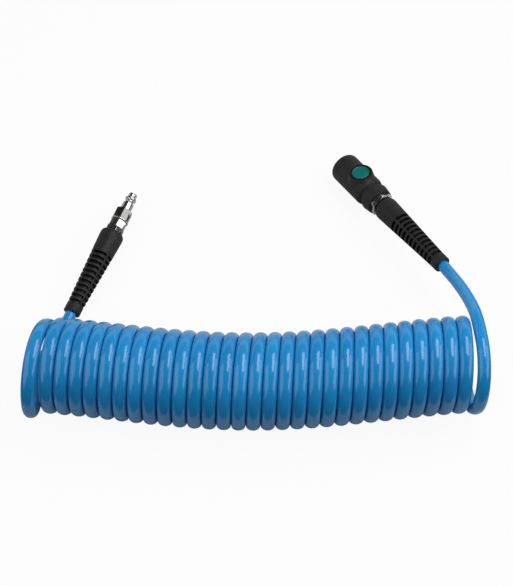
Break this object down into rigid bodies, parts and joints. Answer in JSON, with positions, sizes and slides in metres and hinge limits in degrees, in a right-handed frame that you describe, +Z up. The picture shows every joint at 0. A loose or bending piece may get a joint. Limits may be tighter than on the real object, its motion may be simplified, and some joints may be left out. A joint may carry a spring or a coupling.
{
  "type": "coiled air hose",
  "caption": "Coiled blue air hose with black bend sleeves, a steel quick-connect plug at one end and a push-button safety coupler on a swivel at the other.",
  "frame": {"origin": "middle of the box round the whole hose, at the ground it lies on", "axes": "+X along the coil towards the coupler's end, +Y from the coil towards the fittings, +Z up"},
  "size_m": [0.4457, 0.3317, 0.0924],
  "materials": {
    "hose": "glossy translucent-looking blue polyurethane",
    "sleeve_rubber": "matte black moulded rubber",
    "plug_steel": "nickel-plated steel, bright",
    "fitting_brass": "turned brass",
    "seal_rubber": "smooth black nitrile",
    "spring_steel": "drawn spring steel",
    "coupler_shell": "dark grey composite, fine satin grain",
    "rim_plastic": "black, satin",
    "button_plastic": "teal moulded plastic, satin"
  },
  "bodies": {
    "hose": {"hose_coil": "hose", "plug_tail": "hose", "coupler_tail": "hose", "plug_hose_end": "hose", "coupler_hose_end": "hose", "plug_bend_sleeve": "sleeve_rubber", "coupler_bend_sleeve": "sleeve_rubber", "hose_nut": "plug_steel", "plug_body": "plug_steel", "plug_seal_washer": "fitting_brass", "plug_hose_barb": "fitting_brass", "plug_ferrule": "fitting_brass", "coupler_stem": "fitting_brass", "coupler_ferrule": "fitting_brass", "stem_seal": "seal_rubber", "retaining_ring": "spring_steel"},
    "coupler": {"tail_hex": "plug_steel", "rear_collar": "coupler_shell", "coupler_body": "coupler_shell", "socket_sleeve": "plug_steel", "button_rim": "rim_plastic", "button_spring": "spring_steel", "lip_seal": "seal_rubber", "valve_seal": "seal_rubber", "valve_spring": "spring_steel"},
    "button": {"release_button": "button_plastic"},
    "latch": {"locking_slide": "spring_steel"},
    "valve": {"valve_poppet": "fitting_brass"}
  },
  "joints": [
    {"name": "coupler_swivel", "type": "hinge", "parent": "hose", "child": "coupler", "pos_m": [0.13407, 0.09531, 0.02915], "axis": [-0.5341, 0.8257, -0.1815], "continuous": true},
    {"name": "button_press", "type": "slide", "parent": "coupler", "child": "button", "axis": [0.0986, -0.1524, -0.9834], "range_m": [0, 0.002], "stiffness_N_per_m": 900, "springref_m": -0.002, "deforming": ["button_spring"]},
    {"name": "latch_slide", "type": "slide", "parent": "coupler", "child": "latch", "axis": [0.0986, -0.1524, -0.9834], "range_m": [0, 0.002]},
    {"name": "valve_open", "type": "slide", "parent": "coupler", "child": "valve", "axis": [0.5341, -0.8257, 0.1815], "range_m": [0, 0.004], "stiffness_N_per_m": 700, "springref_m": -0.003, "deforming": ["valve_spring"]}
  ],
  "couplings": [
    {"joint": "latch_slide", "follows": "button_press", "ratio": 1}
  ]
}
